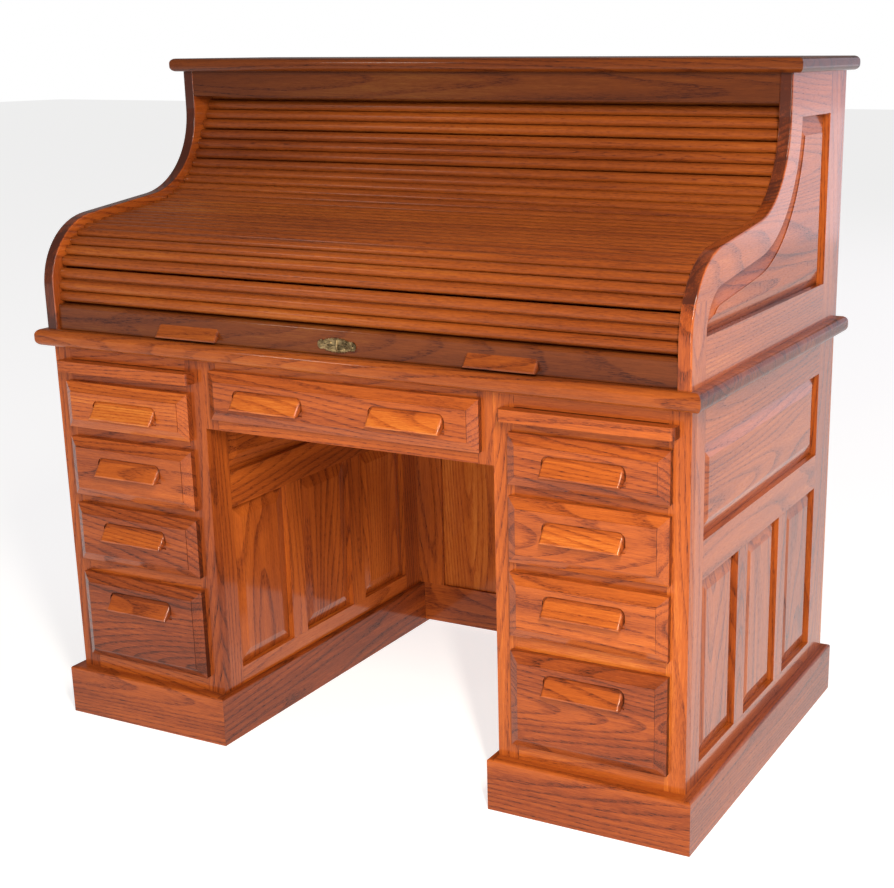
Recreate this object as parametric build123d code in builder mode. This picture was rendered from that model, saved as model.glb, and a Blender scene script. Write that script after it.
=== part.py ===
from build123d import *

import os
from math import asin, cos, degrees, radians, sin

os.makedirs("parts", exist_ok=True)

# ---------------------------------------------------------------------------
# Driving dimensions, in millimetres.
# X runs across the desk, Y back through it and Z up from the floor. Depths are
# measured back from the front of the plinth, and FRONT puts that face in the frame.
# ---------------------------------------------------------------------------
FRONT = -388.5
JOINT = 0.2                 # the line between two boards that are glued edge to edge
SIDES = {"left": -1, "right": 1}

# Pedestals: the case from its kneehole side to its outer side, and its plinth
CASE_IN, CASE_OUT = 305, 662
CASE_FRONT, CASE_BACK = 24, 779
CASE_FOOT, CASE_TOP = 10, 764
FRAME = 20                  # thickness of every frame board
BACK_PLY = 6
PLINTH_IN, PLINTH_OUT = 293, 681
PLINTH_BACK = 788
PLINTH_H = 99
FRAME_BACK = CASE_FRONT + FRAME

# Front frame of a pedestal: its stiles and the openings that its rails leave
STILE_IN = (305, 345)
STILE_OUT = (623, 662)
SLIDE_SLOT = (716, 739)
DRAWER_OPENINGS = [(615, 689), (478, 579), (344, 444), (139, 301)]

# Side frames of a pedestal: one wide panel over three upright ones
SIDE_STILES = [(44, 83), (690, 773)]
UPPER_PANEL = (532, 696)
LOWER_PANEL = (134, 464)
LOWER_PANELS = [(85, 255), (303, 473), (521, 691)]
SIDE_PANEL_X = {"outer": (644, 650, 658), "inner": (323, 317, 309)}     # back, edge and field
WIDE_BEVEL, NARROW_BEVEL = 30, 28

# Drawers
DRAWER_X = (337, 631)
DRAWER_FRONTS = [(607, 697), (470, 587), (336, 452), (131, 309)]
PULL_HEIGHTS = [650, 537, 406, 262]
PULL_X = 482
FRONT_BACK, FRONT_EDGE, FRONT_FIELD = 23.5, 13, 2
FRONT_BEVEL = 18
FIELD_STEP = 1.5            # by which the field of a front or an S panel stands over its bevels
BOX_X = (348, 620)
BOX_BACK = 680
WALL, BOTTOM = 12, 6
BOX_LIFT, BOX_HEADROOM = 2.5, 6     # under and over a drawer box in its opening

# Drawer runners: a shelf under each side of a box and a guide beside it, and a lower board
RUNNERS = [
    ((CASE_IN + FRAME, 358), (CASE_IN + FRAME, 347)),
    ((610, CASE_OUT - FRAME), (621, CASE_OUT - FRAME)),
]
RUNNER_BACK, CASE_BOTTOM_BACK = 740, 772
SHELF_T, SHELF_LIFT, GUIDE_H = 16, 2, 28
CASE_BOTTOM_T = 14

# Writing slides: a lip over a narrower board
LIP_X, LIP_Z = (324, 641), (717, 738)
SLIDE_X, SLIDE_Z, SLIDE_BACK = (346, 622), (718.5, 736.5), 520
LIP_FRONT, LIP_CORNER = -1, 7

# Kneehole: the centre drawer under its apron, and the panelled back
CENTRE_FRONT_X, CENTRE_FRONT_Z = 283, (655, 747)
CENTRE_OPENING_X, CENTRE_OPENING_Z = 275, (663, 739)
CENTRE_PULL_X, CENTRE_PULL_Z = 146, 701
CENTRE_BOX_X, CENTRE_BOX_Z, CENTRE_BOX_BACK = 268, (663, 733), 560
CENTRE_SHELF_X, CENTRE_GUIDE_X = 258, 270
CENTRE_SHELF_Z, CENTRE_GUIDE_TOP, CENTRE_RUNNER_BACK = (645, 662.5), 690, 600
APRON_FOOT = 633
KNEE_BACK_Y, KNEE_PANEL_Y = (750, 770), (757, 765)
KNEE_STILE, KNEE_MUNTIN = 240, 33
KNEE_FOOT, KNEE_RAIL = 8, 694

# Carved pulls: a block let into the front, sloping out to a lip for the fingers
PULL_W, PULL_H = 150, 33
PULL_REACH = 18
PULL_SINK = 4
PULL_CORNER, PULL_ROUND = 13, 7     # of its upper corners, and along the ends of its slope
LIFT_PULL_W, LIFT_PULL_H, LIFT_PULL_REACH = 140, 28, 15
LIFT_PULL_X, LIFT_PULL_Z = 326, 815
PLATE_W, PLATE_H, PLATE_T = 80, 28, 2
LOCK_W, LOCK_T, LOCK_Z = 60, 9, (799, 831)

# Desk top, upper case and top board
TOP_X, TOP_Y, TOP_Z = 686, (-3, 793), (764, 796)
BOARD_Y, BOARD_Z = (444, 793), (1266, 1292)
S_IN, S_OUT = 640, 664
S_FRONT = 12
S_REAR = (688, 780)
S_RIM = 61
BULGE_R, HOLLOW_R = 136, 165
BULGE_Z = 872
SLOPE, SLOPE_RUN = 6.5, 182
HOLLOW_JOINTS = (-83.5, -56, -28)   # where the hollow's pieces meet, in degrees about its centre
S_PANEL_Z = (872, 1190)
S_BEVEL, S_FOOT_BEVEL = 34, 28
S_PANEL_BACK, S_PANEL_EDGE, S_PANEL_FIELD = 644, 650, 660
FASCIA_Y, FASCIA_FOOT = (461, 481), 1217
UPPER_BACK_FRONT = 768

# Roll curtain
CURTAIN_X = 638
CURTAIN_INSET = 26          # from the rim of the S sides to the canvas
SLAT_T = 11
PITCH = 22.4
GROUP_OF = 3
GROUPS = 11
LIFT_BAR_Z = (797, 845)
LIFT_BAR_Y = (20, 40)
FIRST_GROUP_AT = 49         # distance along the curtain from its lower edge
GROUP_GAP = 1.8             # spare length between two groups, on top of SLAT_GAP
SLAT_GAP = 1.8
CANVAS_T = 0.8
HOLLOW_TURN = 62            # how far from level the curtain climbs behind the fascia, in degrees
CLIMB = 105
CREST_R, CREST_RUN = 85, 40
DROP_R, DROP_RUN = 90, 600


def write(part, node):
    """Name a finished piece and write it out."""
    part.label = node
    export_step(part, f"parts/{node}.step")


def span(side, a, b):
    """The stretch of X from a to b on the right (side 1), or its mirror image (side -1)."""
    return (a, b) if side > 0 else (-b, -a)


def board(x, y, z, mode=Mode.ADD):
    """A square board between x, y and z, each (from, to), with y from the plinth's front."""
    with Locations(((x[0] + x[1]) / 2, FRONT + (y[0] + y[1]) / 2, (z[0] + z[1]) / 2)):
        Box(x[1] - x[0], y[1] - y[0], z[1] - z[0], mode=mode)


def rectangle_between(a, b):
    """A sketch rectangle that spans a, (from, to) along its plane's x, and b along its y."""
    with Locations(((a[0] + a[1]) / 2, (b[0] + b[1]) / 2)):
        Rectangle(a[1] - a[0], b[1] - b[0])


def inset(stretch, amount):
    return (stretch[0] + amount, stretch[1] - amount)


def depth(y):
    """A (from, to) stretch of depths, put in the frame."""
    return (FRONT + y[0], FRONT + y[1])


def frame_board(x, y, z):
    """A board that meets its neighbours at a fine glue line on each end along Z."""
    board(x, y, (z[0] + JOINT, z[1] - JOINT))


def joint_line(plane, start, end, thickness):
    """Part two boards along the straight joint from start to end, both points of the plane."""
    with BuildSketch(plane) as cut:
        with BuildLine():
            Polyline(
                (start[0] - JOINT / 2, start[1]),
                (start[0] + JOINT / 2, start[1]),
                (end[0] + JOINT / 2, end[1]),
                (end[0] - JOINT / 2, end[1]),
                close=True,
            )
        make_face()
    extrude(cut.sketch, amount=thickness, mode=Mode.SUBTRACT)


# ---------------------------------------------------------------------------
# Carved pulls
# ---------------------------------------------------------------------------
def carved_pull(face_y, width, height, reach):
    """A pull centred on X = 0, Z = 0 in a front whose face is at face_y. It starts sunk
    below that face at its top, slopes out to the lip, and is cut under for the fingers."""
    face = FRONT + face_y
    root = face + 10
    with BuildPart() as pull:
        with BuildSketch(Plane.YZ.offset(-width / 2)):
            with BuildLine():
                Polyline(
                    (root, height / 2),
                    (face + PULL_SINK, height / 2),
                    (face - reach, -height / 2 + 3),
                    (face - reach + 1, -height / 2),
                    (face - reach + 4, -height / 2),
                    (face, -height / 4),
                    (root, -height / 4),
                    close=True,
                )
            make_face()
        extrude(amount=width)
        with BuildSketch(Plane.XZ.offset(-root)) as outline:
            rectangle_between((-width / 2, width / 2), (-height / 2, height / 2))
            fillet(outline.vertices().group_by(Axis.Y)[-1], PULL_CORNER)
        extrude(amount=root - face + reach, mode=Mode.INTERSECT)
        slopes = [side for side in pull.faces().filter_by(GeomType.PLANE) if side.normal_at().Y < -0.5]
        front_slope = max(slopes, key=lambda side: side.area)
        end_edges = [edge for edge in front_slope.edges() if abs(edge.tangent_at(0.5).X) < 0.99]
        fillet(end_edges, PULL_ROUND)
    return pull.part


def pull_recess(face_y, x, z, width, height):
    """Sink the shallow pocket that a pull's upper edge sits in."""
    clear = 1.5
    with BuildSketch(Plane.XZ.offset(-(FRONT + face_y + PULL_SINK))) as pocket:
        with Locations((x, z)):
            Rectangle(width + 2 * clear, height + 2 * clear)
        fillet(pocket.vertices().group_by(Axis.Y)[-1], PULL_CORNER + clear)
    extrude(pocket.sketch, amount=PULL_SINK, mode=Mode.SUBTRACT)


drawer_pull = carved_pull(FRONT_FIELD, PULL_W, PULL_H, PULL_REACH)


# ---------------------------------------------------------------------------
# Raised panels and raised drawer fronts
# ---------------------------------------------------------------------------
def raised_side_panel(x, y, z, bevel):
    """A raised panel across X: x is (back, edge, field), signed, and y and z its outline."""
    with BuildSketch(Plane.YZ.offset(x[1])) as edge:
        rectangle_between(depth(y), z)
    with BuildSketch(Plane.YZ.offset(x[2])) as field:
        rectangle_between(depth(inset(y, bevel)), inset(z, bevel))
    board(sorted(x[:2]), y, z)
    loft([edge.sketch, field.sketch], ruled=True)


def raised_front(x, z):
    """A drawer front whose bevels rise from its thin edges to a flat field."""
    board(x, (FRONT_EDGE, FRONT_BACK), z)
    with BuildSketch(Plane.XZ.offset(-(FRONT + FRONT_EDGE))) as edge:
        rectangle_between(x, z)
    with BuildSketch(Plane.XZ.offset(-(FRONT + FRONT_FIELD + FIELD_STEP))) as field:
        rectangle_between(inset(x, FRONT_BEVEL), inset(z, FRONT_BEVEL))
    loft([edge.sketch, field.sketch], ruled=True)
    extrude(field.sketch, amount=FIELD_STEP)


def open_box(x, y, z):
    """A drawer box: two sides between a front and a back wall, over a thin bottom."""
    over_bottom = (z[0] + BOTTOM + JOINT, z[1])
    board(x, y, (z[0], z[0] + BOTTOM))
    board((x[0], x[0] + WALL), y, over_bottom)
    board((x[1] - WALL, x[1]), y, over_bottom)
    between = inset(x, WALL + JOINT)
    board(between, (y[0], y[0] + WALL), over_bottom)
    board(between, (y[1] - WALL, y[1]), over_bottom)


# ---------------------------------------------------------------------------
# Pedestals
# ---------------------------------------------------------------------------
for name, side in SIDES.items():
    with BuildPart() as plinth:
        board(span(side, PLINTH_IN, PLINTH_OUT), (0, PLINTH_BACK), (0, PLINTH_H))
        fillet(plinth.edges().group_by(Axis.Z)[-1], 5)
        board(span(side, CASE_IN, CASE_OUT), (CASE_FRONT, CASE_BACK), (0, PLINTH_H), Mode.SUBTRACT)
        for outer_x, inner_x in ((PLINTH_IN, CASE_IN), (PLINTH_OUT, CASE_OUT)):
            for outer_y, inner_y in ((0, CASE_FRONT), (PLINTH_BACK, CASE_BACK)):
                mitre_start = (side * outer_x, FRONT + outer_y)
                mitre_end = (side * inner_x, FRONT + inner_y)
                joint_line(Plane.XY, mitre_start, mitre_end, PLINTH_H)
    write(plinth.part, f"{name}_plinth")

    with BuildPart() as face_frame:
        layer = (CASE_FRONT, FRAME_BACK)
        board(span(side, *STILE_IN), layer, (CASE_FOOT, CASE_TOP))
        board(span(side, *STILE_OUT), layer, (CASE_FOOT, CASE_TOP))
        rail_x = span(side, STILE_IN[1] + JOINT, STILE_OUT[0] - JOINT)
        openings = [SLIDE_SLOT] + DRAWER_OPENINGS
        rail_tops = [CASE_TOP] + [opening[0] for opening in openings]
        rail_feet = [opening[1] for opening in openings] + [CASE_FOOT]
        for foot, top in zip(rail_feet, rail_tops):
            board(rail_x, layer, (foot, top))
    write(face_frame.part, f"{name}_face_frame")

    for which, frame_x in (("outer", (CASE_OUT - FRAME, CASE_OUT)), ("inner", (CASE_IN, CASE_IN + FRAME))):
        across = span(side, *frame_x)
        with BuildPart() as side_frame:
            for stile in SIDE_STILES:
                board(across, stile, (CASE_FOOT, CASE_TOP))
            rail_y = (SIDE_STILES[0][1] + JOINT, SIDE_STILES[1][0] - JOINT)
            board(across, rail_y, (CASE_FOOT, LOWER_PANEL[0]))
            board(across, rail_y, (LOWER_PANEL[1], UPPER_PANEL[0]))
            board(across, rail_y, (UPPER_PANEL[1], CASE_TOP))
            for before, after in zip(LOWER_PANELS, LOWER_PANELS[1:]):
                frame_board(across, (before[1], after[0]), LOWER_PANEL)
        write(side_frame.part, f"{name}_{which}_side_frame")

    with BuildPart() as runners:
        runner_y = (FRAME_BACK + JOINT, RUNNER_BACK)
        box_shelves = [opening[0] + SHELF_LIFT for opening in DRAWER_OPENINGS]
        for shelf_x, guide_x in RUNNERS:
            for top in [SLIDE_SLOT[0] + SHELF_LIFT] + box_shelves:
                board(span(side, *inset(shelf_x, JOINT)), runner_y, (top - SHELF_T, top))
            for top in box_shelves:
                board(span(side, *inset(guide_x, JOINT)), runner_y, (top + JOINT, top + GUIDE_H))
        bottom_x = inset((CASE_IN + FRAME, CASE_OUT - FRAME), JOINT)
        bottom_y = (FRAME_BACK + JOINT, CASE_BOTTOM_BACK)
        board(span(side, *bottom_x), bottom_y, (PLINTH_H - CASE_BOTTOM_T, PLINTH_H))
    write(runners.part, f"{name}_drawer_runners")

for which, panel_x in SIDE_PANEL_X.items():
    with BuildPart() as side_panels:
        for side in SIDES.values():
            signed = [side * x for x in panel_x]
            wide = (SIDE_STILES[0][1], SIDE_STILES[1][0])
            raised_side_panel(signed, inset(wide, JOINT), inset(UPPER_PANEL, JOINT), WIDE_BEVEL)
            for narrow in LOWER_PANELS:
                shown = (max(narrow[0], wide[0] + 2), min(narrow[1], wide[1]))
                raised_side_panel(signed, inset(shown, JOINT), inset(LOWER_PANEL, JOINT), NARROW_BEVEL)
    write(side_panels.part, f"{which}_side_panels")

with BuildPart() as pedestal_backs:
    for side in SIDES.values():
        board(span(side, CASE_IN, CASE_OUT), (CASE_BACK - BACK_PLY, CASE_BACK), (CASE_FOOT, CASE_TOP))
write(pedestal_backs.part, "pedestal_backs")

# ---------------------------------------------------------------------------
# Pedestal drawers and writing slides
# ---------------------------------------------------------------------------
for name, side in SIDES.items():
    for number in range(len(DRAWER_OPENINGS)):
        low, high = DRAWER_OPENINGS[number]
        centre_x = side * PULL_X
        pull_z = PULL_HEIGHTS[number]
        with BuildPart() as drawer_front:
            raised_front(span(side, *DRAWER_X), DRAWER_FRONTS[number])
            pull_recess(FRONT_FIELD, centre_x, pull_z, PULL_W, PULL_H)
            with Locations((centre_x, 0, pull_z)):
                add(drawer_pull)
        write(drawer_front.part, f"{name}_drawer_{number + 1}_front")

        with BuildPart() as drawer_box:
            open_box(span(side, *BOX_X), (FRONT_BACK, BOX_BACK), (low + BOX_LIFT, high - BOX_HEADROOM))
        write(drawer_box.part, f"{name}_drawer_{number + 1}_box")

    with BuildPart() as writing_slide:
        board(span(side, *LIP_X), (LIP_FRONT, FRONT_BACK), LIP_Z)
        fillet(writing_slide.edges().filter_by(Axis.Z).group_by(Axis.Y)[0], LIP_CORNER)
        board(span(side, *SLIDE_X), (FRONT_BACK, SLIDE_BACK), SLIDE_Z)
    write(writing_slide.part, f"{name}_writing_slide")

# ---------------------------------------------------------------------------
# Kneehole: apron, centre drawer, its runners, and the panelled back
# ---------------------------------------------------------------------------
with BuildPart() as apron:
    layer = (CASE_FRONT, FRAME_BACK)
    for side in SIDES.values():
        board(span(side, CENTRE_OPENING_X, CASE_IN - JOINT), layer, (APRON_FOOT, CASE_TOP))
    across = inset((-CENTRE_OPENING_X, CENTRE_OPENING_X), JOINT)
    board(across, layer, (CENTRE_OPENING_Z[1], CASE_TOP))
    board(across, layer, (APRON_FOOT, CENTRE_OPENING_Z[0]))
write(apron.part, "kneehole_apron")

with BuildPart() as centre_front:
    raised_front((-CENTRE_FRONT_X, CENTRE_FRONT_X), CENTRE_FRONT_Z)
    for side in SIDES.values():
        pull_recess(FRONT_FIELD, side * CENTRE_PULL_X, CENTRE_PULL_Z, PULL_W, PULL_H)
    with Locations(*[(side * CENTRE_PULL_X, 0, CENTRE_PULL_Z) for side in SIDES.values()]):
        add(drawer_pull)
write(centre_front.part, "centre_drawer_front")

with BuildPart() as centre_box:
    open_box((-CENTRE_BOX_X, CENTRE_BOX_X), (FRONT_BACK, CENTRE_BOX_BACK), CENTRE_BOX_Z)
write(centre_box.part, "centre_drawer_box")

with BuildPart() as centre_runners:
    runner_y = (FRAME_BACK + JOINT, CENTRE_RUNNER_BACK)
    guide_z = (CENTRE_SHELF_Z[1] + JOINT, CENTRE_GUIDE_TOP)
    for side in SIDES.values():
        board(span(side, CENTRE_SHELF_X, CASE_IN - JOINT), runner_y, CENTRE_SHELF_Z)
        board(span(side, CENTRE_GUIDE_X, CASE_IN - JOINT), runner_y, guide_z)
write(centre_runners.part, "centre_drawer_runners")

with BuildPart() as knee_frame:
    board(inset((-PLINTH_IN, PLINTH_IN), JOINT), KNEE_BACK_Y, (KNEE_FOOT, PLINTH_H))
    for side in SIDES.values():
        board(span(side, KNEE_STILE, CASE_IN - JOINT), KNEE_BACK_Y, (PLINTH_H + JOINT, CASE_TOP))
    board(inset((-KNEE_STILE, KNEE_STILE), JOINT), KNEE_BACK_Y, (KNEE_RAIL, CASE_TOP))
    frame_board((-KNEE_MUNTIN, KNEE_MUNTIN), KNEE_BACK_Y, (PLINTH_H, KNEE_RAIL))
write(knee_frame.part, "kneehole_back_frame")

with BuildPart() as knee_panels:
    panel_x = inset((KNEE_MUNTIN, KNEE_STILE), JOINT)
    for side in SIDES.values():
        board(span(side, *panel_x), KNEE_PANEL_Y, inset((PLINTH_H, KNEE_RAIL), JOINT))
write(knee_panels.part, "kneehole_back_panels")

# ---------------------------------------------------------------------------
# Desk top and top board, both with a full round edge
# ---------------------------------------------------------------------------
with BuildPart() as desk_top:
    board((-TOP_X, TOP_X), TOP_Y, TOP_Z)
    fillet(desk_top.edges().filter_by(Axis.Z, reverse=True), 12)
write(desk_top.part, "desk_top")

with BuildPart() as top_board:
    board((-TOP_X, TOP_X), BOARD_Y, BOARD_Z)
    fillet(top_board.edges().filter_by(Axis.Z, reverse=True), 10)
write(top_board.part, "top_board")

# ---------------------------------------------------------------------------
# Upper case: S-shaped sides, fascia and back
# ---------------------------------------------------------------------------
slope = radians(SLOPE)
bulge_centre = (S_FRONT + BULGE_R, BULGE_Z)
hollow_centre = (
    bulge_centre[0] - (BULGE_R + HOLLOW_R) * sin(slope) + SLOPE_RUN * cos(slope),
    bulge_centre[1] + (BULGE_R + HOLLOW_R) * cos(slope) + SLOPE_RUN * sin(slope),
)


def s_edge(moved_in, bottom, top):
    """The S-shaped front edge moved in by moved_in: a bulge, a slope and a hollow between
    the heights bottom and top. Returns its lower and upper end in the plane."""
    bulge_r = BULGE_R - moved_in
    hollow_r = HOLLOW_R + moved_in
    bulge_at = (FRONT + bulge_centre[0], bulge_centre[1])
    hollow_at = (FRONT + hollow_centre[0], hollow_centre[1])
    start = 180 - degrees(asin(max(0, bottom - BULGE_Z) / bulge_r))
    finish = -degrees(asin(max(0, hollow_centre[1] - top) / hollow_r))
    bulge = CenterArc(bulge_at, bulge_r, start, 90 + SLOPE - start)
    hollow = CenterArc(hollow_at, hollow_r, SLOPE - 90, finish - (SLOPE - 90))
    Line(bulge @ 1, hollow @ 0)
    return bulge @ 0, hollow @ 1


def rim_point(centre, radius, angle):
    """A point of the rim at this radius and angle, in degrees, about one of its centres."""
    return (
        FRONT + centre[0] + radius * cos(radians(angle)),
        centre[1] + radius * sin(radians(angle)),
    )


def rim_joint(face, centre, radii, angle):
    """A joint across the rim, square to its edge, between two of its glued pieces."""
    joint_line(face, rim_point(centre, radii[0], angle), rim_point(centre, radii[1], angle), S_OUT - S_IN)


def s_panel_outline(x, moved_in, bottom, top, rear):
    """The outline, at x, of the panel in an S side."""
    with BuildSketch(Plane.YZ.offset(x)) as outline:
        with BuildLine():
            low, high = s_edge(moved_in, bottom, top)
            Polyline(high, (FRONT + rear, top), (FRONT + rear, bottom), low)
        make_face()
    return outline.sketch


for name, side in SIDES.items():
    across = span(side, S_IN, S_OUT)
    foot, head = TOP_Z[1], BOARD_Z[0]
    with BuildPart() as s_side:
        with BuildSketch(Plane.YZ.offset(across[0])):
            with BuildLine():
                outer_low, outer_high = s_edge(0, BULGE_Z, head)
                inner_low, inner_high = s_edge(S_RIM, BULGE_Z, head)
                Polyline(outer_low, (outer_low.X, foot), (inner_low.X, foot), inner_low)
                Polyline(outer_high, (outer_high.X, head), (inner_high.X, head), inner_high)
            make_face()
        extrude(amount=S_OUT - S_IN)
        curved = s_side.edges().filter_by(GeomType.CIRCLE)
        front_edges = [edge for edge in curved if min(abs(edge.radius - r) for r in (BULGE_R, HOLLOW_R)) < 1]
        front_edges += [
            edge
            for edge in s_side.edges().filter_by(GeomType.LINE)
            if edge.center().Y < FRONT + S_FRONT + 1 and abs(edge.tangent_at(0.5).X) < 0.1
        ]
        fillet(front_edges, 3)
        face = Plane.YZ.offset(across[0])
        rim_joint(face, bulge_centre, (BULGE_R + 1, BULGE_R - S_RIM - 1), 90 + SLOPE)
        for angle in HOLLOW_JOINTS:
            rim_joint(face, hollow_centre, (HOLLOW_R - 1, HOLLOW_R + S_RIM + 1), angle)
        inner_y = S_FRONT + S_RIM + JOINT
        rail_back = S_REAR[0] - JOINT
        board(across, (inner_y, rail_back), (foot, S_PANEL_Z[0]))
        board(across, S_REAR, (foot, head))
        board(across, (inner_high.X - FRONT + JOINT, rail_back), (S_PANEL_Z[1], head))
    write(s_side.part, f"{name}_s_side")

with BuildPart() as s_panels:
    for side in SIDES.values():
        low, high = inset(S_PANEL_Z, JOINT)
        rear = S_REAR[0] - JOINT
        back = s_panel_outline(side * S_PANEL_BACK, S_RIM + JOINT, low, high, rear)
        edge = s_panel_outline(side * S_PANEL_EDGE, S_RIM + JOINT, low, high, rear)
        field_x, field_z = side * (S_PANEL_FIELD - FIELD_STEP), (low + S_FOOT_BEVEL, high - S_BEVEL)
        field = s_panel_outline(field_x, S_RIM + S_BEVEL, *field_z, rear - S_BEVEL)
        extrude(back, amount=side * (S_PANEL_EDGE - S_PANEL_BACK))
        loft([edge, field], ruled=True)
        extrude(field, amount=side * FIELD_STEP)
write(s_panels.part, "s_side_panels")

with BuildPart() as fascia:
    board((-S_IN, S_IN), FASCIA_Y, (FASCIA_FOOT, BOARD_Z[0]))
write(fascia.part, "fascia")

with BuildPart() as upper_back:
    board((-S_IN, S_IN), (UPPER_BACK_FRONT, S_REAR[1]), (TOP_Z[1], BOARD_Z[0]))
write(upper_back.part, "upper_back")

# ---------------------------------------------------------------------------
# Pigeonholes on the desk top, behind the curtain
# ---------------------------------------------------------------------------
UNIT_X, UNIT_Y, UNIT_Z = 600, (500, 690), (TOP_Z[1], 1020)
UNIT_T = 12
BAYS = 5
SHELF_Z = 900
with BuildPart() as pigeonholes:
    board((-UNIT_X, UNIT_X), UNIT_Y, (UNIT_Z[0], UNIT_Z[0] + UNIT_T))
    board((-UNIT_X, UNIT_X), UNIT_Y, (UNIT_Z[1] - UNIT_T, UNIT_Z[1]))
    upright_z = inset(UNIT_Z, UNIT_T + JOINT)
    bay = (2 * UNIT_X - UNIT_T) / BAYS
    in_front = (UNIT_Y[0], UNIT_Y[1] - BACK_PLY - JOINT)
    for number in range(BAYS + 1):
        left = -UNIT_X + number * bay
        board((left, left + UNIT_T), in_front, upright_z)
    for number in range(BAYS):
        left = -UNIT_X + number * bay + UNIT_T
        board((left + JOINT, left + bay - UNIT_T - JOINT), in_front, (SHELF_Z, SHELF_Z + 8))
    board((-UNIT_X, UNIT_X), (UNIT_Y[1] - BACK_PLY, UNIT_Y[1]), upright_z)
write(pigeonholes.part, "pigeonhole_unit")


# ---------------------------------------------------------------------------
# Roll curtain: slats glued on canvas, which follow the S of the sides, pass
# behind the fascia and turn down at the back
# ---------------------------------------------------------------------------
def curtain_runs():
    """The curtain's path from its lower edge, as runs of (start, length, heading, turn):
    start is (depth, height), heading and turn are in degrees, and a straight run turns 0."""
    shapes = [
        (BULGE_Z - LIFT_BAR_Z[0], 0),
        (BULGE_R - CURTAIN_INSET, SLOPE - 90),
        (SLOPE_RUN, 0),
        (HOLLOW_R + CURTAIN_INSET, HOLLOW_TURN - SLOPE),
        (CLIMB, 0),
        (CREST_R, -HOLLOW_TURN),
        (CREST_RUN, 0),
        (DROP_R, -90),
        (DROP_RUN, 0),
    ]
    runs = []
    at, heading = (S_FRONT + CURTAIN_INSET, LIFT_BAR_Z[0]), 90
    for size, turn in shapes:
        length = size if turn == 0 else size * radians(abs(turn))
        runs.append((at, length, heading, turn))
        middle = radians(heading + turn / 2)
        chord = length if turn == 0 else 2 * size * sin(radians(abs(turn)) / 2)
        at = (at[0] + chord * cos(middle), at[1] + chord * sin(middle))
        heading += turn
    return runs


def along_curtain(distance):
    """The point (depth, height) and the heading in radians at a distance up the curtain."""
    for at, length, heading, turn in RUNS:
        if distance <= length or length == RUNS[-1][1]:
            break
        distance -= length
    done = distance / length
    turned = radians(turn) * done
    chord = distance if turn == 0 else distance * sin(turned / 2) / (turned / 2) if turned else 0
    middle = radians(heading) + turned / 2
    return (at[0] + chord * cos(middle), at[1] + chord * sin(middle)), radians(heading) + turned


RUNS = curtain_runs()
GROUP_LENGTH = PITCH * GROUP_OF
SLAT_STEP = (GROUP_LENGTH - GROUP_GAP) / GROUP_OF
SLAT_W = SLAT_STEP - SLAT_GAP


def slat(distance):
    """One half-round slat whose flat back lies on the path at this distance."""
    (y, z), heading = along_curtain(distance)
    half, shoulder = SLAT_W / 2, 0.35 * SLAT_T
    up_curtain = (0, cos(heading), sin(heading))
    square_to_it = Plane(origin=(-CURTAIN_X, FRONT + y, z), x_dir=up_curtain, z_dir=(1, 0, 0))
    with BuildSketch(square_to_it) as section:
        with BuildLine():
            Polyline((-half, shoulder), (-half, JOINT), (half, JOINT), (half, shoulder))
            ThreePointArc((half, shoulder), (0, SLAT_T), (-half, shoulder))
        make_face()
    extrude(section.sketch, amount=2 * CURTAIN_X)


def canvas(distances):
    """The cloth strip that carries the slats at these distances."""
    outer, inner = [], []
    for distance in distances:
        (y, z), heading = along_curtain(distance)
        for reach in (-SLAT_W / 2, SLAT_W / 2):
            edge = (FRONT + y + reach * cos(heading), z + reach * sin(heading))
            outer.append(edge)
            inner.append((edge[0] + CANVAS_T * sin(heading), edge[1] - CANVAS_T * cos(heading)))
    with BuildSketch(Plane.YZ.offset(-CURTAIN_X)) as section:
        with BuildLine():
            Polyline(*outer, *reversed(inner), close=True)
        make_face()
    extrude(section.sketch, amount=2 * CURTAIN_X)


for number in range(GROUPS):
    start = FIRST_GROUP_AT + number * GROUP_LENGTH + GROUP_GAP / 2
    distances = [start + (index + 0.5) * SLAT_STEP for index in range(GROUP_OF)]
    with BuildPart() as curtain_group:
        for distance in distances:
            slat(distance)
        canvas(distances)
    write(curtain_group.part, f"curtain_slats_{number + 1:02d}")

with BuildPart() as lift_bar:
    board((-CURTAIN_X, CURTAIN_X), LIFT_BAR_Y, LIFT_BAR_Z)
    fillet(lift_bar.edges().filter_by(Axis.X).group_by(Axis.Z)[-1].sort_by(Axis.Y)[0], 7)
write(lift_bar.part, "lift_bar")

lift_pull = carved_pull(LIFT_BAR_Y[0], LIFT_PULL_W, LIFT_PULL_H, LIFT_PULL_REACH)
with BuildPart() as lift_pulls:
    with Locations(*[(side * LIFT_PULL_X, 0, LIFT_PULL_Z) for side in SIDES.values()]):
        add(lift_pull)
    board((-CURTAIN_X, CURTAIN_X), LIFT_BAR_Y, LIFT_BAR_Z, Mode.SUBTRACT)
write(lift_pulls.part, "lift_bar_pulls")

with BuildPart() as escutcheon:
    with BuildSketch(Plane.XZ.offset(-(FRONT + LIFT_BAR_Y[0]))):
        with Locations((0, LIFT_PULL_Z)):
            Ellipse(PLATE_W / 2, PLATE_H / 2)
    extrude(amount=PLATE_T)
write(escutcheon.part, "escutcheon")

with BuildPart() as lock:
    lock_y = (LIFT_BAR_Y[1] + JOINT, LIFT_BAR_Y[1] + LOCK_T)
    board((-LOCK_W / 2, LOCK_W / 2), lock_y, LOCK_Z)
write(lock.part, "curtain_lock")
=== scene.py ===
# %% [markdown]
# # A roll top desk in lacquered oak
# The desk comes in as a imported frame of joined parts. This lesson gives it its camera, its light,
# an oak that runs along every board, and the small brass and steel pieces that a cabinetmaker adds last.
# Everything is in metres, with X along the desk, Y from front to back and Z up from the floor.

from math import cos, pi, radians, sin

import bpy
from mathutils import Matrix, Vector


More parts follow.
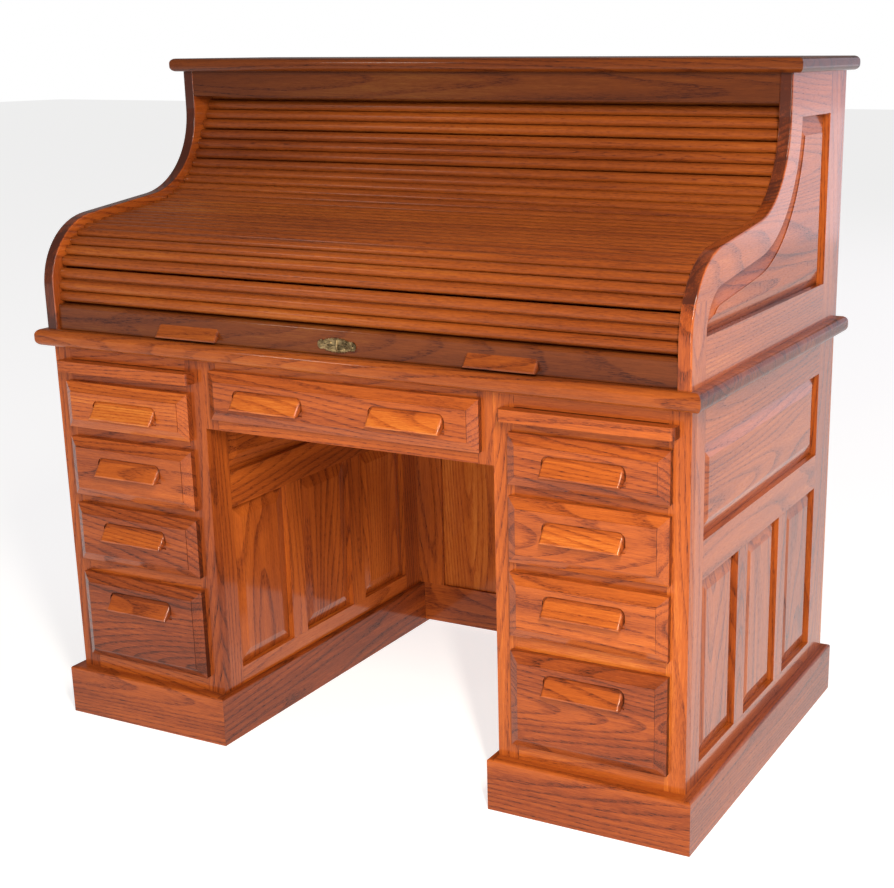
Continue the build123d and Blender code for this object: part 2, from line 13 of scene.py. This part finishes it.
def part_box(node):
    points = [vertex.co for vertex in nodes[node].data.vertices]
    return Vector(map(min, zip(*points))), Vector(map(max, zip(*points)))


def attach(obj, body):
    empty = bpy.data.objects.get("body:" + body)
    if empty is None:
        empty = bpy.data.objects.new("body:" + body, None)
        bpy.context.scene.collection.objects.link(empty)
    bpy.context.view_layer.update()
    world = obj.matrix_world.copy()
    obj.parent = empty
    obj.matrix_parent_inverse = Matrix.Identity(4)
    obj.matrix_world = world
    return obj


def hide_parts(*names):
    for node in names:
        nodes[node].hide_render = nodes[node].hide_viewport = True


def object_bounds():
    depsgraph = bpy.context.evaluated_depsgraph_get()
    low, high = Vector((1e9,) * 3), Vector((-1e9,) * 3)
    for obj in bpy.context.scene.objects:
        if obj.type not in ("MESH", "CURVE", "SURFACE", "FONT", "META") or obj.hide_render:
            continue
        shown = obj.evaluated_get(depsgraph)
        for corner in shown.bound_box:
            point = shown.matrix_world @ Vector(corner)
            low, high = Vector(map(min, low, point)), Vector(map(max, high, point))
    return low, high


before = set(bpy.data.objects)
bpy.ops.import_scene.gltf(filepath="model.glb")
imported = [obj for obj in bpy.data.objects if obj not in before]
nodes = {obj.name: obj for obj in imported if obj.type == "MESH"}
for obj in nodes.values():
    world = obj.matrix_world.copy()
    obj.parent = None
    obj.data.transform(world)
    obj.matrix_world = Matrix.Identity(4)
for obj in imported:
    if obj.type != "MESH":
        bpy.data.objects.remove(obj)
cad_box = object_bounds()
print("desk", [round(b - a, 3) for a, b in zip(*cad_box)], "nodes", len(nodes))

# %% [markdown]
# ## Camera
# A long lens standing to the right of the desk, at the height of its top board, keeps the sides
# nearly parallel. The lens is shifted a little, so that the desk sits in the middle of the picture
# without tilting its uprights.

# %% Camera
camera_data = bpy.data.cameras.new("desk_camera")
camera_data.sensor_width = 36
camera_data.lens = 61.6
camera_data.shift_x = -0.126
camera_data.shift_y = 0.051
camera = bpy.data.objects.new("desk_camera", camera_data)
bpy.context.scene.collection.objects.link(camera)
CAMERA_PLACE = (1.5202, -2.5407, 1.3118)
CAMERA_TURN, CAMERA_TILT, CAMERA_ROLL = 26.63, -16.16, -0.35
camera.matrix_world = (
    Matrix.Translation(CAMERA_PLACE)
    @ Matrix.Rotation(radians(CAMERA_TURN), 4, "Z")
    @ Matrix.Rotation(radians(90 + CAMERA_TILT), 4, "X")
    @ Matrix.Rotation(radians(CAMERA_ROLL), 4, "Z")
)
bpy.context.scene.camera = camera
print("camera", round(Vector(CAMERA_PLACE).length, 2), "m from the middle of the floor")

# %% [markdown]
# ## Writing a finish as maths
# A finish is a tree of shader nodes. Wiring them by hand is slow to read, so one small class wraps a
# socket, and ordinary Python arithmetic on it adds the Math nodes. Each sign gets one short method,
# and the forms that start with r let a plain number stand on the left, as in 1 - mask.


# %% Sockets that add up
class Field:
    """A number that changes over a surface."""

    def __init__(self, finish, socket):
        self.finish = finish
        self.socket = socket

    def maths(self, operation, *values):
        settings = {"operation": operation}
        return self.finish.node("Math", settings, dict(enumerate(values or (self,))))

    def __add__(self, other):
        return self.maths("ADD", self, other)

    __radd__ = __add__

    def __mul__(self, other):
        return self.maths("MULTIPLY", self, other)

    __rmul__ = __mul__

    def __sub__(self, other):
        return self.maths("SUBTRACT", self, other)

    def __rsub__(self, other):
        return self.maths("SUBTRACT", other, self)

    def __gt__(self, other):
        return self.maths("GREATER_THAN", self, other)

    def __lt__(self, other):
        return self.maths("LESS_THAN", self, other)

    def fraction(self):
        return self.maths("FRACT", self)

    def ramp(self, low, high, start=0.0, end=1.0):
        """Runs smoothly from start, at low and under, to end, at high and over."""
        settings = {"interpolation_type": "SMOOTHSTEP"}
        values = {"Value": self, "From Min": low, "From Max": high, "To Min": start, "To Max": end}
        return self.finish.node("MapRange", settings, values, "Result")


print("arithmetic ready")

# %% [markdown]
# Every other node comes from one method, which takes the node's settings first and then the values
# or links of its sockets. A short name for noise, for the three parts of a vector and for the shader's
# own sockets is all that a finish needs beyond that. The room's world is made of nodes too, so the
# class works on a world as well as on a material.


# %% Trees of nodes
class Finish:
    """A material or a world whose nodes are made as they are asked for."""

    def __init__(self, owner):
        self.owner = owner
        owner.use_nodes = True
        self.tree = owner.node_tree

    def feed(self, socket, value):
        """Link a field, or set a plain value."""
        if isinstance(value, Field):
            self.tree.links.new(value.socket, socket)
        else:
            socket.default_value = value

    def node(self, kind, settings, values, output=0):
        """Make any node, set it up, fill its sockets and return one output as a field."""
        made = self.tree.nodes.new("ShaderNode" + kind)
        for name, value in settings.items():
            if name == "stops":
                self.set_stops(made.color_ramp, value)
            else:
                setattr(made, name, value)
        for name, value in values.items():
            self.feed(made.inputs[name], value)
        return Field(self, made.outputs[output])

    @staticmethod
    def set_stops(ramp, stops):
        while len(ramp.elements) < len(stops):
            ramp.elements.new(1.0)
        for element, (place, colour) in zip(ramp.elements, stops):
            element.position = place
            element.color = (*colour, 1)

    def noise(self, where, scale, detail, roughness=0.5, stretch=(1, 1, 1)):
        """Noise, from 0 to 1, in a pattern that is stretch times finer along each axis."""
        placed = self.node("Mapping", {}, {"Vector": where, "Scale": stretch})
        values = {"Vector": placed, "Scale": scale, "Detail": detail, "Roughness": roughness}
        return self.node("TexNoise", {}, values, "Fac")

    def axes(self, vector):
        """The three numbers of a vector, by axis."""
        split = self.node("SeparateXYZ", {}, {0: vector}).socket.node
        return {axis: Field(self, split.outputs[axis]) for axis in "XYZ"}

    def end_at(self, end, **values):
        """Set sockets of the node that a tree ends at. Their names are written with _ for a space."""
        for name, value in values.items():
            self.feed(self.tree.nodes[end].inputs[name.replace("_", " ")], value)

    def surface(self, **values):
        """Set sockets of a material's shader."""
        self.end_at("Principled BSDF", **values)


print("finish tools ready")

# %% [markdown]
# ## Room and light
# Lacquer shows the room that it stands in, so the room is plain: a pale floor under a white surround.
# The floor's paint gives off a little light of its own, so that it stays white where no lamp reaches
# and only the shadow close to the plinths is seen on it.

# %% Floor
FLOOR_SIZE = 60
FLOOR_GREY = 0.55
FLOOR_GLOW = 0.72
bpy.ops.object.select_all(action="DESELECT")
bpy.ops.mesh.primitive_plane_add(size=FLOOR_SIZE, location=(0, 0, 0))
floor = bpy.context.active_object
floor.name = "floor"
floor_paint = Finish(bpy.data.materials.new("floor_paint"))
floor_paint.surface(
    Base_Color=(FLOOR_GREY, FLOOR_GREY, FLOOR_GREY, 1),
    Roughness=0.6,
    Emission_Color=(1, 1, 1, 1),
    Emission_Strength=FLOOR_GLOW,
)
floor.data.materials.append(floor_paint.owner)
print("floor", FLOOR_SIZE, "m square")

# %% [markdown]
# A white surround that lit the desk as brightly as it looks would wash the lacquer out with its
# reflection. So the light path tells who is looking: the camera sees white, and everything else gets
# a dim, slightly warm light from all round.

# %% Surround
surround = Finish(bpy.data.worlds.new("surround"))
dim = surround.node("Background", {}, {"Color": (1.0, 0.98, 0.96, 1), "Strength": 0.22})
white = surround.node("Background", {}, {"Color": (1, 1, 1, 1)})
seen = surround.node("LightPath", {}, {}, "Is Camera Ray")
surround.end_at("World Output", Surface=surround.node("MixShader", {}, {0: seen, 1: dim, 2: white}))
bpy.context.scene.world = surround.owner
bpy.context.scene.view_settings.view_transform = "Standard"
print("surround set")

# %% [markdown]
# A soft lamp to the front left casts the shadow of the left side on the curtain. A tall strip near
# the camera does most of the lighting, and its reflection draws the bright lines on the ends of the
# pulls. A low fill lamp opens the kneehole. Far behind on the right stands a large lilac panel, whose
# reflection gives the right side its pale sheen.


# %% Lamps
def lamp(name, place, aim, size, watts, colour, tall=None):
    """A soft lamp at place, turned to aim: square, or a strip that is tall times as high."""
    data = bpy.data.lights.new(name, "AREA")
    data.size = size
    if tall:
        data.shape = "RECTANGLE"
        data.size_y = size * tall
    data.energy = watts
    data.color = colour
    made = bpy.data.objects.new(name, data)
    made.location = place
    made.rotation_euler = (Vector(aim) - Vector(place)).to_track_quat("-Z", "Y").to_euler()
    bpy.context.scene.collection.objects.link(made)
    return watts


total = lamp("key_lamp", (-2.6, -3.6, 2.3), (0, 0, 0.8), 0.5, 16, (1.0, 0.95, 0.88))
total += lamp("strip_lamp", (1.58, -2.05, 2.15), (0.45, -0.3, 0.6), 0.12, 88, (1.0, 0.93, 0.82), tall=11)
total += lamp("fill_lamp", (1.3, -3.3, 0.75), (0.1, 0.2, 0.4), 1.0, 36, (1.0, 0.92, 0.84))
total += lamp("side_panel", (5.0, 5.5, 2.4), (0.6, 0.2, 0.7), 9, 255, (0.96, 0.82, 1.0))
print("lamps", total, "W in all")

# %% [markdown]
# ## Oak
# Plain-sawn oak shows its growth rings as long arches, with dark open pores crowded along the
# early wood of each ring. An image of a board would repeat and stretch, so the wood is worked out
# from its place in the desk instead. The stain is a ramp of four colours, from the red brown that
# gathers in the pores to the amber of the densest wood.

# %% Colours of the stain
RED_BROWN = (0.055, 0.0105, 0.0035)
CHESTNUT = (0.225, 0.042, 0.0075)
ORANGE = (0.440, 0.098, 0.0130)
AMBER = (0.660, 0.215, 0.0330)
STAINED_OAK = [(0.0, RED_BROWN), (0.34, CHESTNUT), (0.68, ORANGE), (1.0, AMBER)]
PLAIN_OAK = [(0.0, (0.20, 0.095, 0.035)), (0.45, (0.42, 0.24, 0.11)), (1.0, (0.62, 0.41, 0.21))]


def darker(share):
    """The stain on a darker board, whose colours keep this share of their light."""
    return [(place, tuple(share * part for part in colour)) for place, colour in STAINED_OAK]


print("stain of", len(STAINED_OAK), "colours, unstained oak of", len(PLAIN_OAK))

# %% [markdown]
# The grain has to run along each board, but a frame is one node with upright and level boards.
# So the wood is given the coordinates of a board, with the grain's own direction first, and a box
# inside which the boards run another way swaps them. Each box starts at another place in the log,
# because no two boards of a real frame carry the same rings.

# %% Grain along the boards
ALONG = {"x": ("X", "Z", "Y"), "y": ("Y", "Z", "X"), "z": ("Z", "X", "Y"), "zy": ("Z", "Y", "X")}
LOG_STEP = 0.37


def inside(position, box):
    """1 in a box given as {axis: (low, high)}, in metres, and 0 elsewhere."""
    mask = 1.0
    for axis, (low, high) in box.items():
        mask = mask * (position[axis] > low) * (position[axis] < high)
    return mask


def laid(finish, position, direction, shift):
    """Coordinates along and across a board that runs in a direction, moved on in the log."""
    places = {i: position[axis] + shift * (i + 1) for i, axis in enumerate(ALONG[direction])}
    return finish.node("CombineXYZ", {}, places)


def boards(finish, position, facing, along, other_boards):
    """The coordinates of every board, and how far a face shows the end of its grain."""
    board = laid(finish, position, along, 0.0)
    end_grain = facing[ALONG[along][0]]
    for number, (direction, box) in enumerate(other_boards, 1):
        mask = inside(position, box)
        other = laid(finish, position, direction, LOG_STEP * number)
        board = finish.node("Mix", {"data_type": "VECTOR"}, {0: mask, 4: board, 5: other}, 1)
        end_grain = end_grain * (1 - mask) + facing[ALONG[direction][0]] * mask
    return board, end_grain


print("grain can run along", sorted(ALONG))

# %% [markdown]
# A noise that is stretched along the board gives the slow shape of the rings, and the fraction of
# many times that noise gives the rings themselves, as contour lines give a hill. The first half of
# a ring is early wood. Fine noise gives the fibres, and a finer one, cut off at a height, the pores.
# Two broad noises stand for streaks in the log and for patches where the stain took unevenly.

# %% What grows in the wood
RINGS = 40


def wood(finish, board, width):
    """Early wood, fibres, pores, streaks and patches, each from 0 to 1."""
    slow = finish.noise(board, 1.0, 1, 0.4, (0.55, 5.0 / width, 5.0 / width))
    wander = finish.noise(board, 1.0, 2, 0.5, (5.0, 26.0, 26.0))
    ring = (slow * RINGS + wander * 0.55).fraction()
    early = ring.ramp(0.0, 0.55, 1.0, 0.0) * ring.ramp(0.0, 0.08)
    fibre = finish.noise(board, 1.0, 3, 0.65, (22, 420, 420))
    pores = finish.noise(board, 1.0, 2, 0.5, (80, 1000, 1000)).ramp(0.50, 0.62)
    streak = finish.noise(board, 1.0, 3, 0.6, (0.9, 30, 30))
    patch = finish.noise(board, 1.0, 1, 0.5, (1.5, 4.0, 4.0))
    return early, fibre, pores, streak, patch


print("wood ready, contour lines", RINGS)

# %% [markdown]
# The wood becomes one number, its shade, which picks a colour from the stain. Pores and fibres also
# lift and sink the surface a little, under a coat of lacquer. The lacquer's index is lower than a
# real varnish has, so that the reflection of the pale room doesn't hide the wood's colour.

# %% Oak
MIDDLE_SHADE = 0.60
EDGE_PAINTED_SHADE = 0.26


def oak(
    name, along, other_boards=(), stops=STAINED_OAK, figure=1.0, tone=0.0, gloss=0.6, satin=0.10,
    width=1.0, tints=(), ends=0.30, shaded_edge_box=None,
):
    """Oak whose grain runs along an axis, and along another in the boxes of other_boards.
    figure is the boldness of the rings and width their breadth, tone lightens the wood, and
    gloss and satin are the lacquer's weight and roughness. tints lighten the wood in boxes, and
    darken it where negative: some are the wood's own tone, some painted light and painted shade.
    End grain drinks more stain and is darker by ends. Within shaded_edge_box, faces that don't face
    sideways get painted shade."""
    finish = Finish(bpy.data.materials.new(name))
    position = finish.axes(finish.node("TexCoord", {}, {}, "Object"))
    normal = finish.axes(finish.node("TexCoord", {}, {}, "Normal"))
    facing = {axis: part.maths("ABSOLUTE") for axis, part in normal.items()}
    board, end_grain = boards(finish, position, facing, along, other_boards)
    early, fibre, pores, streak, patch = wood(finish, board, width)

    shade = (
        MIDDLE_SHADE
        + tone
        + (fibre - 0.5) * 0.50
        + (streak - 0.5) * 0.60
        + (patch - 0.5) * 0.55
        - early * (0.16 * figure)
        - pores * (early * 0.26 + 0.08)
        - end_grain.ramp(0.25, 0.9) * ends
    )
    if shaded_edge_box:
        # Painted shade: faces that don't face sideways, within the box, are darker.
        to_the_front = facing["X"].ramp(0.2, 0.8, 1.0, 0.0)
        shade = shade - to_the_front * inside(position, shaded_edge_box) * EDGE_PAINTED_SHADE
    for box, amount in tints:
        shade = shade + inside(position, box) * amount
    height = fibre * 0.25 - pores * (early * 0.6 + 0.25)
    finish.surface(
        Base_Color=finish.node("ValToRGB", {"stops": stops}, {"Fac": shade}, "Color"),
        Roughness=0.42 + pores * 0.16 + (fibre - 0.5) * 0.08,
        Normal=finish.node("Bump", {}, {"Strength": 0.22, "Distance": 0.0006, "Height": height}, "Normal"),
        Coat_Weight=gloss,
        Coat_Roughness=satin,
        Coat_IOR=1.36,
        Specular_IOR_Level=0.10,
    )
    return finish.owner


print("oak ready")

# %% [markdown]
# ## Which board runs which way
# A joiner cuts the stiles of a frame upright and the rails level. The plinth's front tells where the
# desk begins, and from there the stiles of every frame are marked off by their place. Each box ends
# in the middle of the glue line between a stile and a rail, so that no board shows both grains.

# %% Boards of the side frames and plinths
FRONT = cad_box[0].y + 0.016
FAR = 9.0
MUNTINS = (0.134, 0.464)


def deep(start, end):
    """A stretch of Y, in millimetres from the plinth's front."""
    return (FRONT + start / 1000, FRONT + end / 1000)


side_uprights = [
    ("zy", {"Y": deep(20, 83.1)}),
    ("zy", {"Y": deep(689.9, 790)}),
    ("zy", {"Y": deep(254, 304), "Z": MUNTINS}),
    ("zy", {"Y": deep(472, 522), "Z": MUNTINS}),
]
s_uprights = [("zy", {"Y": deep(0, 73.1), "Z": (0.7, 0.93)}), ("zy", {"Y": deep(687.9, 800)})]
plinth_sides = [
    ("y", {"Y": deep(1, 787), "X": across})
    for across in ((-0.307, 0.307), (0.661, FAR), (-FAR, -0.661))
]
panel_boards = [("y", {"Z": (0.5, 0.8)})]
print("side frames' uprights", len(side_uprights), "front at", round(FRONT, 4))

# %% [markdown]
# The frames that face the front have their stiles at the two ends of each pedestal, and the
# kneehole's back has a middle one too. The parts are the same on the left and the right.

# %% Boards of the front and back frames
KNEEHOLE_STILE, OUTER_STILE = 0.3451, 0.6229
APRON_STILE, BACK_STILE, BACK_MUNTIN = 0.2751, 0.2399, 0.0331
BACK_RAIL_TOP, BACK_MUNTIN_TOP = 0.0991, 0.6939


def both_ends(stile, **box):
    """Upright boards from a stile's inner edge outwards, on the left and on the right."""
    return [("z", {"X": (-FAR, -stile), **box}), ("z", {"X": (stile, FAR), **box})]


front_uprights = [("z", {"X": (-KNEEHOLE_STILE, KNEEHOLE_STILE)}), *both_ends(OUTER_STILE)]
apron_uprights = both_ends(APRON_STILE)
back_uprights = [
    *both_ends(BACK_STILE, Z=(BACK_RAIL_TOP, 0.9)),
    ("z", {"X": (-BACK_MUNTIN, BACK_MUNTIN), "Z": (BACK_RAIL_TOP, BACK_MUNTIN_TOP)}),
]
print("upright boards", len(front_uprights), len(apron_uprights), len(back_uprights))

# %% [markdown]
# Every drawer front is a board of its own, cut from another place in the log, and they took the
# stain unevenly; the fronts low down and on the left are also painted darker, as painted shade.
# Whatever lies in front of the fronts' own faces, the pulls, is painted lighter, as painted light
# on their upturned faces. The left half of the face frame and of the plinth gets painted shade too.

# %% Boards of the drawer fronts
# Painted light: the pulls' faces are made lighter by this much.
PULL_PAINTED_LIGHT = 0.17
# Each front's own tone, plus painted shade on the lower and left fronts, the lowest left one most.
BOARD_TONES_AND_SHADE = {
    "left_drawer_1_front": 0.02,
    "left_drawer_3_front": -0.08,
    "left_drawer_4_front": -0.26,
    "right_drawer_1_front": -0.05,
    "right_drawer_2_front": -0.03,
    "right_drawer_4_front": -0.10,
    "centre_drawer_front": -0.06,
}


def around(node):
    """The stretches of X and Z that a node takes up, which mark it off as a board of its own."""
    low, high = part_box(node)
    return {"X": (low[0] - 0.001, high[0] + 0.001), "Z": (low[2] - 0.001, high[2] + 0.001)}


drawer_nodes = sorted(node for node in nodes if node.endswith("_front") and "drawer_" in node)
drawer_boards = [("x", around(node)) for node in drawer_nodes]
drawer_tones_and_light = [(around(node), amount) for node, amount in BOARD_TONES_AND_SHADE.items()]
# Painted light: everything in front of the fronts' faces, that is the pulls, is lighter.
drawer_tones_and_light.append(({"Y": (-FAR, FRONT + 0.0012)}, PULL_PAINTED_LIGHT))
# Painted shade: the left half of the front frame and plinth is darker, where less light reaches.
left_painted_shade = [({"X": (-FAR, 0.0)}, -0.10)]
print("drawer fronts", len(drawer_nodes))

# %% [markdown]
# ## The finishes
# One oak serves the whole desk, with small changes from piece to piece: the lift bar and the top
# board took far more stain, the fascia is darker wood and is painted darker still, as painted shade
# under the top board, the side frames and panels shine most, the backs' upright boards are painted
# lighter, as painted light in the kneehole, and a slat is so narrow that its rings show as straight
# lines.

# %% Oak of the frames and panels
finishes = {
    "front_frame_oak": oak("oak_front_frames", "x", front_uprights, tints=left_painted_shade),
    "side_frame_oak": oak("oak_side_frames", "y", side_uprights, tone=-0.03, gloss=1.0),
    "apron_oak": oak("oak_apron", "x", apron_uprights, tone=-0.05),
    "back_frame_oak": oak("oak_back_frame", "x", back_uprights, tone=-0.05),
    "panel_oak": oak("oak_panels", "zy", panel_boards, figure=1.2, tone=-0.02, gloss=1.0),
    # Painted shade on the S sides' front and top edges.
    "s_side_oak": oak(
        "oak_s_sides", "y", s_uprights, tone=-0.03, gloss=1.0, shaded_edge_box={"Y": deep(0, 600)}
    ),
    "s_panel_oak": oak("oak_s_panels", "y", figure=1.2, tone=-0.08, gloss=0.7),
    "plinth_oak": oak("oak_plinth", "x", plinth_sides, tone=-0.14, tints=left_painted_shade, ends=0.0),
    # Painted light: the back boards are made lighter, standing for light that reaches into the kneehole.
    "upright_oak": oak("oak_upright_boards", "z", tone=0.20, figure=1.1),
}
print("oaks so far", len(finishes))

# %% [markdown]
# What slides, rolls or lies on top comes next. Insides are of plain oak, which was never stained
# and has hardly any lacquer.

# %% Oak of the drawers, tops and curtain
finishes.update({
    "drawer_oak": oak(
        "oak_drawer_fronts", "x", drawer_boards, figure=1.1, tints=drawer_tones_and_light, gloss=0.7, satin=0.07
    ),
    "top_oak": oak("oak_tops", "x", stops=darker(0.68)),
    "lift_oak": oak("oak_lift_bar", "x", stops=darker(0.30), figure=0.8),
    "lift_pull_oak": oak("oak_lift_pulls", "x", stops=darker(0.62)),
    "slide_oak": oak("oak_writing_slides", "x", tone=-0.06),
    "board_oak": oak("oak_top_board", "x", stops=darker(0.35)),
    # Darker wood, and painted shade under the top board over it.
    "fascia_oak": oak("oak_fascia", "x", stops=darker(0.24)),
    "slat_oak": oak(
        "oak_slats", "x", figure=0.5, stops=darker(0.60), satin=0.2, gloss=0.45, width=0.16
    ),
    "plain_oak": oak("oak_inside", "y", stops=PLAIN_OAK, figure=0.7, gloss=0.1),
    "pigeonhole_oak": oak("oak_pigeonholes", "x", tone=-0.03, gloss=0.3),
})
print("oaks in all", len(finishes))

# %% [markdown]
# The nodes' own names say what each piece is, so a table of words picks the finish. Where two words
# fit, the longer one says more and wins: left_s_side is a side, and s_side_panels are panels.

# %% Put the finishes on
finish_of = {
    "face_frame": "front_frame_oak",
    "side_frame": "side_frame_oak",
    "side_panels": "panel_oak",
    "s_side_panels": "s_panel_oak",
    "s_side": "s_side_oak",
    "plinth": "plinth_oak",
    "apron": "apron_oak",
    "back_frame": "back_frame_oak",
    "back_panels": "upright_oak",
    "pedestal_backs": "upright_oak",
    "upper_back": "top_oak",
    "curtain_slats": "slat_oak",
    "lift_bar": "lift_oak",
    "lift_bar_pulls": "lift_pull_oak",
    "front": "drawer_oak",
    "writing_slide": "slide_oak",
    "_box": "plain_oak",
    "runners": "plain_oak",
    "pigeonhole": "pigeonhole_oak",
    "desk_top": "top_oak",
    "top_board": "board_oak",
    "fascia": "fascia_oak",
}


def finish_for(node):
    """The finish whose word is in the node's name, the longest such word first."""
    words = [word for word in finish_of if word in node]
    return finishes[finish_of[max(words, key=len)]] if words else None


def put_on(piece, material):
    """Give a piece one material in place of what it has."""
    piece.data.materials.clear()
    piece.data.materials.append(material)


for node, piece in nodes.items():
    if finish_for(node):
        put_on(piece, finish_for(node))
print("finished in oak:", sum(1 for node in nodes if finish_for(node)))

# %% [markdown]
# ## Brass and steel
# The keyhole plate is cast brass, worn bright where keys have rubbed it and brown in its hollows.
# The lock case behind it is plain steel. One colour all over would look like plastic, so both are
# clouded by a broad noise with a fine one over it, and the clouds change the roughness a little too.


# %% Metal finishes
def metal(name, bright, dull, roughness):
    """A clouded metal, between a bright colour and a dull one."""
    finish = Finish(bpy.data.materials.new(name))
    place = finish.node("TexCoord", {}, {}, "Object")
    cloud = finish.noise(place, 90, 3, 0.6)
    grain = finish.noise(place, 700, 2, 0.5)
    values = {"Fac": cloud + (grain - 0.5) * 0.3}
    colour = finish.node("ValToRGB", {"stops": [(0.35, dull), (0.7, bright)]}, values, "Color")
    finish.surface(Base_Color=colour, Roughness=roughness + (cloud - 0.5) * 0.2, Metallic=1.0)
    return finish.owner


brass = metal("aged_brass", (0.46, 0.33, 0.16), (0.10, 0.065, 0.03), 0.30)
steel = metal("plain_steel", (0.42, 0.41, 0.40), (0.20, 0.19, 0.18), 0.42)
put_on(nodes["curtain_lock"], steel)
print("metals", brass.name, steel.name)

# %% [markdown]
# ## Keyhole plate
# On the lift bar sits a cast brass plate: an oval with two end lobes, a beaded border, leaves in low
# relief and, over the keyhole, an upright boss. It could be sculpted from one
# mesh, but here each of these is a primitive at its size and place, shaped in edit mode, and the
# parts are joined, because a casting is one piece. First come the moves that all of them share.


# %% Selecting and settling
def begin():
    bpy.ops.object.select_all(action="DESELECT")


def settle(piece):
    """Put a piece's place, turn and size into its mesh."""
    begin()
    piece.select_set(True)
    bpy.context.view_layer.objects.active = piece
    bpy.ops.object.transform_apply(location=True, rotation=True, scale=True)


def select_faces(piece, test):
    """In edit mode, select just the faces whose centre and normal pass the test."""
    bpy.ops.mesh.select_mode(type="FACE")
    bpy.ops.mesh.select_all(action="DESELECT")
    bpy.ops.object.mode_set(mode="OBJECT")
    for face in piece.data.polygons:
        face.select = test(face.center, face.normal)
    bpy.ops.object.mode_set(mode="EDIT")


print("moves ready")

# %% [markdown]
# A disc is a cylinder turned to face the front, whose face is inset four times. The first ring
# rises to a rounded rim, the second is the rim's flat, the third drops into the dish, and the last
# only gives the dish an edge loop. A bead is a small ball, squashed to its size. What repeats is
# modelled once and copied, and each copy gets its own mesh.

# %% Discs, beads and copies
RIM_STEPS = ((0.06, 0.25), (0.05, 0.0), (0.05, -0.45), (0.10, 0.0))


def disc(name, centre, width, height, depth, vertices=64):
    """An oval disc facing the front, whose rim is stepped, rounded and dished."""
    begin()
    bpy.ops.mesh.primitive_cylinder_add(
        vertices=vertices, radius=0.5, depth=1, location=centre, rotation=(radians(90), 0, 0)
    )
    made = bpy.context.active_object
    made.name = name
    made.scale = (width, height, depth)
    settle(made)
    bpy.ops.object.mode_set(mode="EDIT")
    select_faces(made, lambda place, normal: normal.y < -0.9)
    for rim, rise in RIM_STEPS:
        bpy.ops.mesh.inset(thickness=rim * height, depth=rise * depth)
    bpy.ops.object.mode_set(mode="OBJECT")
    return made


def bead(name, centre, size):
    """A low rounded bead whose back is sunk in the plate. size is (x, y, z)."""
    begin()
    bpy.ops.mesh.primitive_uv_sphere_add(segments=16, ring_count=10, radius=0.5, location=centre)
    made = bpy.context.active_object
    made.name = name
    made.scale = size
    settle(made)
    return made


def copy_of(piece, name, turn, offset, about):
    """A copy with its own mesh, turned by radians about a front-facing axis, then moved."""
    made = piece.copy()
    made.data = piece.data.copy()
    made.name = name
    bpy.context.scene.collection.objects.link(made)
    there, back = Matrix.Translation(about), Matrix.Translation(-about)
    made.data.transform(Matrix.Translation(offset) @ there @ Matrix.Rotation(turn, 4, "Y") @ back)
    return made


print("disc rim of", len(RIM_STEPS), "steps")

# %% [markdown]
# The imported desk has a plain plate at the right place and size, so the casting is measured from it.
# The oval and its two lobes overlap, so that they read as one casting.

# %% Body of the plate
plate_low, plate_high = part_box("escutcheon")
plate_centre = (Vector(plate_low) + Vector(plate_high)) / 2
plate_w = plate_high[0] - plate_low[0]
plate_h = plate_high[2] - plate_low[2]
plate_t = plate_high[1] - plate_low[1]
face_centre = Vector((plate_centre.x, plate_centre.y - plate_t / 2, plate_centre.z))
LOBE_W, LOBE_H = 0.2 * plate_w, 0.6 * plate_h
lobe_reach = (plate_w - LOBE_W) / 2
casting = [disc("plate_body", plate_centre, 0.80 * plate_w, 0.86 * plate_h, 0.8 * plate_t)]
for side in (-1, 1):
    lobe_centre = plate_centre + Vector((side * lobe_reach, 0, 0))
    casting.append(disc("plate_lobe", lobe_centre, LOBE_W, LOBE_H, 0.7 * plate_t, 32))
print("plate", [round(1000 * size, 1) for size in (plate_w, plate_t, plate_h)], "mm")

# %% [markdown]
# Thirty beads follow the oval's rim, every other one larger. Inside it five leaves lie on each side,
# and open like a fan. They are copies of one flat bead, turned and moved to their places.

# %% Beaded border and leaves
BEADS = 30
for number in range(BEADS):
    angle = 2 * pi * number / BEADS
    place = Vector((0.40 * plate_w * cos(angle), 0, 0.43 * plate_h * sin(angle)))
    size = 0.085 * plate_h * (1.25 if number % 2 else 0.9)
    casting.append(bead("rim_bead", plate_centre + place, (size * 1.3, 1.1 * plate_t, size * 1.3)))

LEAVES = ((-0.17, 35), (0.17, -35), (-0.10, -20), (0.10, 20), (0.0, 0))
leaf = bead("leaf", face_centre, (0.13 * plate_w, 0.7 * plate_t, 0.055 * plate_w))
pivot = leaf.data.vertices[0].co.copy()
for side in (-1, 1):
    for up, tip in LEAVES:
        reach = side * (0.17 + 0.4 * abs(abs(up) - 0.17) * 2.2) * plate_w
        casting.append(copy_of(leaf, "leaf", radians(side * tip), (reach, 0, up * plate_h), pivot))
bpy.data.objects.remove(leaf)
print("beads", BEADS, "leaves", 2 * len(LEAVES))

# %% [markdown]
# The boss is the tallest bead, and a pin in each lobe holds the plate to the bar. Then the casting is
# joined, gets its brass and is smoothed, with edges kept where faces meet at more than 40 degrees.
# It rides with the lift bar, and stands for the plain plate there.

# %% Boss, pins and casting
casting.append(bead("boss", face_centre, (0.075 * plate_w, 1.9 * plate_t, 0.72 * plate_h)))
for side in (-1, 1):
    place = face_centre + Vector((side * lobe_reach, 0, 0))
    casting.append(bead("pin", place, (0.12 * plate_h, 0.9 * plate_t, 0.12 * plate_h)))

begin()
for part in casting:
    part.select_set(True)
bpy.context.view_layer.objects.active = casting[0]
bpy.ops.object.join()
plate = bpy.context.active_object
plate.name = "keyhole_plate"
put_on(plate, brass)
bpy.ops.object.shade_smooth_by_angle(angle=radians(40))
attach(plate, "lift_bar")
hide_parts("escutcheon")
print("plate faces", len(plate.data.polygons))
